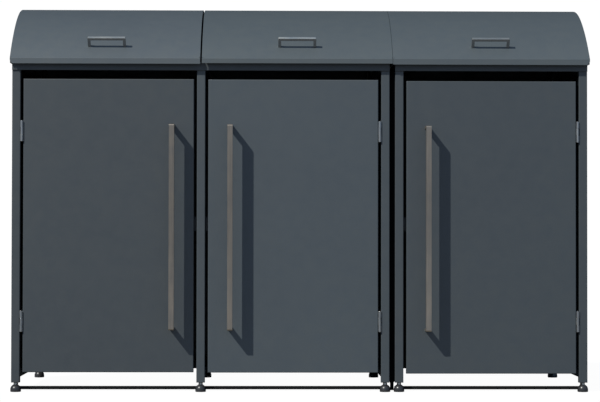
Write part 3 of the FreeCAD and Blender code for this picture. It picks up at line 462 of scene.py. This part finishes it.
def button(bm, at, axis, rad=4.75, tall=2.75, washer=5.5, ref=None):
    """Button head with a hexagon socket, on a washer."""
    w = 0.0
    rings = []
    if washer:
        rings += [(washer, -0.05), (washer, 0.7), (washer - 0.25, 0.9),
                  (rad + 0.1, 0.9)]
        w = 0.9
    else:
        rings += [(rad, -0.05)]
    rings += [(rad, w), (rad, w + tall * 0.22), (rad * 0.95, w + tall * 0.5),
              (rad * 0.82, w + tall * 0.78), (rad * 0.64, w + tall * 0.95),
              (rad * 0.55, w + tall), (hexa(rad * 0.40), w + tall),
              (hexa(rad * 0.38), w + tall * 0.96),
              (hexa(rad * 0.37), w + tall * 0.45)]
    lathe(bm, rings, at, axis, 24, ref=ref)


def flat_screw(bm, at, axis, rad=3.4):
    """Raised countersunk head with a cross recess."""
    lathe(bm, [(rad, -0.05), (rad, 0.15), (rad * 0.9, 0.42),
               (rad * 0.72, 0.62), (cross(rad * 0.62), 0.68),
               (cross(rad * 0.58), 0.60), (cross(rad * 0.40), -0.02)],
          at, axis, 32)


def rivet(bm, at, axis, rad=4.0, tall=1.3):
    """Dome-head blind rivet with its mandrel hole."""
    lathe(bm, [(rad, -0.05), (rad, tall * 0.2), (rad * 0.93, tall * 0.52),
               (rad * 0.74, tall * 0.85), (rad * 0.45, tall),
               (rad * 0.30, tall * 0.98), (rad * 0.28, tall * 0.55)],
          at, axis, 20)


def hex_bolt(bm, at, axis, flats=10.0, tall=4.0, washer=8.0, ref=None):
    a = flats / 2
    rings = [(washer, -0.05), (washer, 1.1), (washer - 0.3, 1.3),
             (a * 1.02, 1.3), (hexa(a), 1.3), (hexa(a), 1.3 + tall * 0.82),
             (a * 0.97, 1.3 + tall), (a * 0.55, 1.3 + tall),
             (a * 0.5, 1.3 + tall * 0.93)]
    lathe(bm, rings, at, axis, 24, ref=ref)


def bead(bm, p, q, rad=2.0, pitch=3.1):
    """Weld bead between two points: overlapping ripples, tapered ends."""
    d = q - p
    length = d.length / MM
    steps = max(6, int(length / pitch * 5))
    z = d.normalized()
    x = z.orthogonal().normalized()
    y = z.cross(x)
    phase = rng.random()
    loops = []
    for k in range(steps + 1):
        s = k / steps
        along = s * length
        ripple = ((along / pitch + phase) % 1.0)
        r = rad * (0.86 + 0.20 * math.sin(math.pi * ripple ** 0.7))
        r *= 1.0 + 0.10 * math.sin(along * 0.37 + phase * 9.0)
        ends = min(1.0, min(along, length - along) / (rad * 1.1))
        r *= 0.35 + 0.65 * math.sqrt(max(0.0, ends * (2 - ends)))
        c = p + d * s
        loops.append([bm.verts.new(c + (x * math.cos(math.tau * i / 8)
                                        + y * math.sin(math.tau * i / 8))
                                   * (r * MM)) for i in range(8)])
    for a, b in zip(loops, loops[1:]):
        for i in range(8):
            j = (i + 1) % 8
            bm.faces.new((a[i], a[j], b[j], b[i]))
    bm.faces.new(loops[0])
    bm.faces.new(loops[-1])


# ------------------------------------------------------------- frame details
FRAMES = (-1030.0, -370.0, 290.0, 340.0, 1000.0)      # left faces of the posts
BAYS = {1: (-1000.0, -370.0), 2: (-340.0, 290.0), 3: (370.0, 1000.0)}
DOORS = {1: (-989.5, -380.5), 2: (-329.5, 279.5), 3: (380.5, 989.5)}
LIDS = {1: (-1035.5, -358.0), 2: (-352.0, 329.5), 3: (330.5, 1035.5)}
SIDE = {1: -1, 2: 1, 3: 1}
GRIP_Y, GRIP_Z, GRIP_TILT = 17.0, 1237.08, 42.49      # foot of the bow handles
PIN_Y, PIN_TALL = -3.9, 73.6                          # axis of the door hinges
HANG = {1: 0.0, 2: -1.0, 3: -4.5}                     # height of the doors
BARS = {1: -457.5, 2: -250.3, 3: 455.3}               # middles of the bars

bm = bmesh.new()
for i, x in enumerate(FRAMES):
    a, b = x + 3, x + 27
    if i in (0, 3):
        free = (x + 18.5, b)
    elif i in (2, 4):
        free = (a, x + 11.5)
    else:
        free = (a, b)
    bead(bm, P(x + 10, 35.5, 52), P(x + 20, 35.5, 52), 1.4, 2.6)
    bead(bm, P(x + 10, 40.5, 52), P(x + 20, 40.5, 52), 1.4, 2.6)
    for y in (30.0, 770.0):
        bead(bm, P(a, y, 52), P(b, y, 52), 2.1)
        bead(bm, P(free[0], y, 82), P(free[1], y, 82), 2.1)
        bead(bm, P(free[0], y, 1149), P(free[1], y, 1149), 2.1)
piece("frame_corner_welds", bm, "frame", "frame_coat", 60)

bm = bmesh.new()
for x in FRAMES:
    bead(bm, P(x + 2.5, 0, 1149), P(x + 27.5, 0, 1149), 1.8)
    bead(bm, P(x + 2.5, 800, 1149), P(x + 27.5, 800, 1149), 1.8)
piece("header_rail_welds", bm, "frame", "frame_coat", 60)

bm = bmesh.new()
for n in (1, 2, 3):
    for x in BAYS[n]:
        bead(bm, P(x, 773, 66), P(x, 782, 66), 2.0)
        bead(bm, P(x, 770, 39), P(x, 770, 63), 2.0)
        bead(bm, P(x, 773, 36), P(x, 797, 36), 1.0)
piece("rear_rail_welds", bm, "frame", "frame_coat", 60)

# Blind rivets that hold the folded edges of the wall panels to the frames.
bm = bmesh.new()
for x, s in ((-1030.0, 1), (320.0, -1), (340.0, 1), (1030.0, -1)):
    mid = x + s * (3 + 14 * 0.5 + 0.8)
    for z in (150.0, 385.0, 620.0, 855.0, 1090.0):
        rivet(bm, P(mid, 32.0, z), (0, 1, 0), 3.6, 1.2)
        rivet(bm, P(mid, 768.0, z), (0, -1, 0), 3.6, 1.2)
    for y in (120.0, 307.0, 493.0, 680.0):
        rivet(bm, P(mid, y, 83.5), (0, 0, 1), 3.6, 1.2)
        if not (abs(y - 651) < 45):
            rivet(bm, P(mid, y, 1147.5), (0, 0, -1), 3.6, 1.2)
piece("side_panel_rivets", bm, "frame", "fixing_steel")

bm = bmesh.new()
for n in (1, 2, 3):
    x0, x1 = BAYS[n]
    mid = 800 - 3 - 14 * 0.5 - 0.8
    for z in (150.0, 385.0, 620.0, 855.0, 1090.0):
        rivet(bm, P(x0 + 2.0, mid, z), (1, 0, 0), 3.6, 1.2)
        rivet(bm, P(x1 - 2.0, mid, z), (-1, 0, 0), 3.6, 1.2)
    for k in range(4):
        x = x0 + 75 + (x1 - x0 - 150) * k / 3
        rivet(bm, P(x, mid, 67.5), (0, 0, 1), 3.6, 1.2)
piece("rear_panel_rivets", bm, "frame", "fixing_steel")

# Door hinges: pin heads and leaf screws.
bm = bmesh.new()
screws = bmesh.new()
door_screws = {n: bmesh.new() for n in (1, 2, 3)}
for n in (1, 2, 3):
    s = SIDE[n]
    edge = DOORS[n][0] if s < 0 else DOORS[n][1]
    face = BAYS[n][0] if s < 0 else BAYS[n][1]
    ax = (edge + face) / 2
    for z in (215.0, 894.5):
        head = [(2.9, -0.05), (3.1, 0.25), (2.8, 0.6), (1.9, 1.0), (0.7, 1.15)]
        lathe(bm, head, P(ax, PIN_Y, z + PIN_TALL), (0, 0, 1), 20)
        lathe(bm, head, P(ax, PIN_Y, z), (0, 0, -1), 20)
        for dz in (9.0, 36.8, 64.6):
            flat_screw(screws, P(face - 1.5 * s, 17, z + dz), (-s, 0, 0))
            flat_screw(door_screws[n], P(edge + 1.5 * s, 15.5, z + dz),
                       (s, 0, 0), 3.0)
piece("door_hinge_pin_heads", bm, "frame", "hinge_steel")
piece("door_hinge_frame_screws", screws, "frame", "fixing_steel")
for n in (1, 2, 3):
    piece("door_hinge_screws_%d" % n, door_screws[n], "door_%d" % n,
          "fixing_steel")

# Lid hinges: leaf screws on the rear rail and on the rear wall of each lid.
screws = bmesh.new()
for n in (1, 2, 3):
    own = bmesh.new()
    l0, l1 = LIDS[n]
    for x in (l0 + 110, l1 - 110 - 84):
        for dx in (13.0, 42.0, 71.0):
            flat_screw(screws, P(x + dx, 807, 1161.5), (0, 1, 0), 3.6)
            flat_screw(own, P(x + dx, 802, 1203.0), (0, 1, 0), 3.6)
    piece("lid_hinge_screws_%d" % n, own, "lid_%d" % n, "fixing_steel")
piece("lid_hinge_frame_screws", screws, "frame", "fixing_steel")

# Catch screws and strut bracket screws.
bm = bmesh.new()
for n in (1, 2, 3):
    s = SIDE[n]
    x = BAYS[n][1] - 25 if s < 0 else BAYS[n][0] + 25
    for z in (587.0, 613.0):
        flat_screw(bm, P(x, 37, z), (s, 0, 0), 2.8)
    face = BAYS[n][0] if s < 0 else BAYS[n][1]
    for y in (638.0, 664.0):
        button(bm, P(face - 3 * s, y, 1164), (-s, 0, 0), 4.4, 1.6, None)
piece("catch_and_bracket_screws", bm, "frame", "fixing_steel")

# Rubber strip that closes the gap between the two units: a flat web with a
# soft bead along each edge, held between the posts and narrower at the feet.
# It is coloured near black: a dark strip put where the gap shows only shade.
bm = bmesh.new()
loops = []
for z, w in ((5.0, 6.2), (8.0, 6.6), (30.0, 6.6), (33.5, 7.4), (36.5, 9.9),
             (60.0, 10.0), (300.0, 10.0), (600.0, 10.0), (900.0, 10.0),
             (1120.0, 10.0), (1144.0, 9.9), (1147.0, 9.2)):
    ring = []
    for k in range(7):
        a = math.radians(-90.0 + 30.0 * k)
        ring.append((w - 2.4 + 2.4 * math.cos(a), 26.0 + 2.4 * math.sin(a)))
    ring += [(w - 5.2, 27.2), (-(w - 5.2), 27.2)]
    for k in range(7):
        a = math.radians(90.0 + 30.0 * k)
        ring.append((-(w - 2.4) + 2.4 * math.cos(a), 26.0 + 2.4 * math.sin(a)))
    ring += [(-(w - 5.2), 24.8), (w - 5.2, 24.8)]
    loops.append([bm.verts.new(P(330.0 + x, y, z)) for x, y in ring])
for a, b in zip(loops, loops[1:]):
    for i in range(len(a)):
        j = (i + 1) % len(a)
        bm.faces.new((a[i], a[j], b[j], b[i]))
bm.faces.new(loops[0])
bm.faces.new(loops[-1])
piece("unit_gap_shade_seal", bm, "frame", "buffer_rubber", 50, GAP_SHADE_RUBBER)

# -------------------------------------------------------------- door details
for n in (1, 2, 3):
    body = "door_%d" % n
    d0, d1 = DOORS[n]
    bm = bmesh.new()
    for z in (227.0, 950.0):
        for dx in (-5.0, 5.0):
            button(bm, P(BARS[n] + dx, 1.5, z + HANG[n]), (0, 1, 0), 3.8, 2.2,
                   5.4)
    piece("bar_handle_screws_%d" % n, bm, body, "fixing_steel")
    # Mitre welds at the corners of the return lip.
    bm = bmesh.new()
    for x, sx in ((d0, 1), (d1, -1)):
        for z, sz in ((70.0 + HANG[n], 1), (1118.0 + HANG[n], -1)):
            bead(bm, P(x + sx * 2.0, 24.6, z + sz * 2.0),
                 P(x + sx * 14.6, 24.6, z + sz * 14.6), 1.1, 2.4)
    piece("door_mitre_welds_%d" % n, bm, body, "door_coat", 60)

# --------------------------------------------------------------- lid details
for n in (1, 2, 3):
    body = "lid_%d" % n
    l0, l1 = LIDS[n]
    mid = (l0 + l1) / 2
    shell = nodes["lid_shell_%d" % n]
    out = Vector((0, -math.sin(math.radians(GRIP_TILT)),
                  math.cos(math.radians(GRIP_TILT))))
    bm = bmesh.new()
    for dx in (-63.0, 63.0):
        foot = P(mid + (3.5 if n == 1 else 0.0) + dx, GRIP_Y, GRIP_Z)
        hit, at, normal, _ = shell.ray_cast(foot - out * 0.08, out)
        if hit:
            button(bm, at, -out, 3.8, 2.2, 5.6)
    piece("lid_handle_screws_%d" % n, bm, body, "fixing_steel")
    # Rivets of the strut bracket.
    s = SIDE[n]
    cheek = l0 + 1.5 if s < 0 else l1 - 1.5
    bm = bmesh.new()
    for y in (638.0, 664.0):
        for z in (1288.0, 1314.0):
            rivet(bm, P(cheek - 3 * s, y, z), (-s, 0, 0), 3.4, 1.5)
    piece("lid_bracket_rivets_%d" % n, bm, body, "fixing_steel")
    # Seam beads where the sides meet the rear wall, inside.
    bm = bmesh.new()
    for x, sx in ((l0 + 2.5, 1), (l1 - 2.5, -1)):
        for z in (1196.0, 1222.0):
            bead(bm, P(x, 797.5, z), P(x, 797.5, z + 16), 1.5, 2.6)
        bead(bm, P(x, -27.8, 1186), P(x, -27.8, 1196), 1.3, 2.4)
    piece("lid_seam_welds_%d" % n, bm, body, "lid_coat", 60)
    # Short rubber seals inside the rear wall, over the tops of the rear posts.
    bm = bmesh.new()
    for x, sx in ((BAYS[n][0], 1), (BAYS[n][1], -1)):
        loops = []
        for dx in (-9.0, -8.0, 2.4, 3.0):
            r = 0.7 if dx in (-9.0, 3.0) else 1.0
            ring = []
            for k in range(8):
                a = math.radians(180.0 + 180.0 * k / 7)
                ring.append((796.3 + r * 1.3 * math.cos(a),
                             1181.0 + r * 1.3 * math.sin(a)))
            ring += [(796.3 + 1.1 * r, 1187.0), (796.3 - 1.1 * r, 1187.0)]
            loops.append([bm.verts.new(P(x + dx * sx, y, z))
                          for y, z in ring])
        for a, b in zip(loops, loops[1:]):
            for i in range(len(a)):
                j = (i + 1) % len(a)
                bm.faces.new((a[i], a[j], b[j], b[i]))
        bm.faces.new(loops[0])
        bm.faces.new(loops[-1])
    piece("lid_rear_seals_%d" % n, bm, body, "buffer_rubber", 50)
    # Gland at the rod end of the strut cylinder.
    face = BAYS[n][0] if s < 0 else BAYS[n][1]
    bm = bmesh.new()
    lathe(bm, [(4.25, 0.02), (8.5, 0.02), (8.7, 0.5), (8.3, 1.5), (7.2, 2.2),
               (5.3, 2.4), (4.9, 1.6), (4.25, 1.5)],
          P(face - 15 * s, 651, 1261), (0, 0, 1), 28, True)
    piece("strut_gland_%d" % n, bm, "strut_tube_%d" % n, "strut_black")

# ------------------------------------------------------------------- staging
def flat(name, half, z, mat):
    bm = bmesh.new()
    v = [bm.verts.new((x * half, y * half, z))
         for x, y in ((-1, -1), (1, -1), (1, 1), (-1, 1))]
    bm.faces.new(v)
    me = bpy.data.meshes.new(name)
    bm.to_mesh(me)
    bm.free()
    me.materials.append(mat)
    o = bpy.data.objects.new(name, me)
    scene.collection.objects.link(o)
    return o


def plain(name, colour, glow):
    m = bpy.data.materials.new(name)
    m.use_nodes = True
    b = m.node_tree.nodes["Principled BSDF"]
    b.inputs["Base Color"].default_value = (*colour, 1)
    b.inputs["Roughness"].default_value = 0.9
    b.inputs["Specular IOR Level"].default_value = 0.0
    b.inputs["Emission Color"].default_value = (1, 1, 1, 1)
    b.inputs["Emission Strength"].default_value = glow
    m.cycles.emission_sampling = "NONE"
    return m


floor = flat("floor", 60.0, -0.0004, plain("floor_white", (0.05,) * 3, 0.97))
floor.visible_diffuse = False
floor.visible_glossy = False
floor.visible_shadow = False
ground = flat("ground_bounce", 60.0, -0.0010,
              plain("ground_grey", (0.22, 0.22, 0.215), 0.0))
ground.visible_camera = False

bm = bmesh.new()
bmesh.ops.create_icosphere(bm, subdivisions=4, radius=58.0)
bmesh.ops.reverse_faces(bm, faces=bm.faces)
me = bpy.data.meshes.new("backdrop")
bm.to_mesh(me)
bm.free()
me.materials.append(plain("backdrop_white", (0.0, 0.0, 0.0), 1.02))
dome = bpy.data.objects.new("backdrop", me)
scene.collection.objects.link(dome)
dome.visible_diffuse = False
dome.visible_glossy = False
dome.visible_transmission = False
dome.visible_shadow = False

world = bpy.data.worlds.new("studio")
scene.world = world
world.use_nodes = True
wt = world.node_tree
wt.nodes.clear()
wo = wt.nodes.new("ShaderNodeOutputWorld")
bg = wt.nodes.new("ShaderNodeBackground")
wc = wt.nodes.new("ShaderNodeTexCoord")
sep = wt.nodes.new("ShaderNodeSeparateXYZ")
ramp = wt.nodes.new("ShaderNodeValToRGB")
wt.links.new(wc.outputs["Generated"], sep.inputs["Vector"])


def spread(source, a0, a1, b0, b1):
    n = wt.nodes.new("ShaderNodeMapRange")
    n.interpolation_type = "SMOOTHSTEP"
    for key, v in (("From Min", a0), ("From Max", a1), ("To Min", b0),
                   ("To Max", b1)):
        n.inputs[key].default_value = v
    wt.links.new(source, n.inputs["Value"])
    return n.outputs["Result"]


mr = wt.nodes.new("ShaderNodeMapRange")
mr.inputs["From Min"].default_value = -1.0
mr.inputs["From Max"].default_value = 1.0
wt.links.new(sep.outputs["Z"], mr.inputs["Value"])
wt.links.new(mr.outputs["Result"], ramp.inputs["Fac"])
e = ramp.color_ramp.elements
e[0].position = 0.45
e[0].color = (0.153, 0.178, 0.226, 1)
e[1].position = 1.0
e[1].color = (0.255, 0.350, 0.505, 1)
mid_stop = ramp.color_ramp.elements.new(0.56)
mid_stop.color = (0.228, 0.313, 0.450, 1)
# The studio is darker low down behind the object.
back_of = spread(sep.outputs["Y"], 0.15, 0.9, 0.0, 1.0)
low_of = spread(sep.outputs["Z"], 0.05, 0.75, 1.0, 0.0)
dim = wt.nodes.new("ShaderNodeMath")
dim.operation = "MULTIPLY"
wt.links.new(back_of, dim.inputs[0])
wt.links.new(low_of, dim.inputs[1])
keep_of = wt.nodes.new("ShaderNodeMapRange")
keep_of.inputs["To Min"].default_value = 1.0
keep_of.inputs["To Max"].default_value = 0.22
wt.links.new(dim.outputs[0], keep_of.inputs["Value"])
wt.links.new(ramp.outputs["Color"], bg.inputs["Color"])
# The front is the brighter side all round.
front_of = spread(sep.outputs["Y"], -0.8, 0.8, 1.25, 0.25)
power = wt.nodes.new("ShaderNodeMath")
power.operation = "MULTIPLY"
wt.links.new(keep_of.outputs["Result"], power.inputs[0])
wt.links.new(front_of, power.inputs[1])
wt.links.new(power.outputs[0], bg.inputs["Strength"])
wt.links.new(bg.outputs["Background"], wo.inputs["Surface"])

sun = bpy.data.lights.new("key_sun", "SUN")
sun.energy = 4.02
sun.angle = math.radians(1.1)
sun.color = (1.0, 0.99, 0.915)
so = bpy.data.objects.new("key_sun", sun)
scene.collection.objects.link(so)
so.rotation_euler = Vector((0.98, 1.0, -1.26)).to_track_quat("-Z",
                                                             "Y").to_euler()

cam = bpy.data.cameras.new("camera")
cam.sensor_fit = "HORIZONTAL"
cam.sensor_width = 36.0
cam.lens = 122.46
cam.clip_start = 0.05
cam.clip_end = 300.0
co = bpy.data.objects.new("camera", cam)
scene.collection.objects.link(co)
co.location = (-0.128, -7.670, 0.542)
co.rotation_euler = (math.radians(91.102), math.radians(-0.085),
                     math.radians(-1.0))
scene.camera = co

scene.view_settings.view_transform = "Standard"
scene.view_settings.look = "None"
scene.view_settings.exposure = 0.0
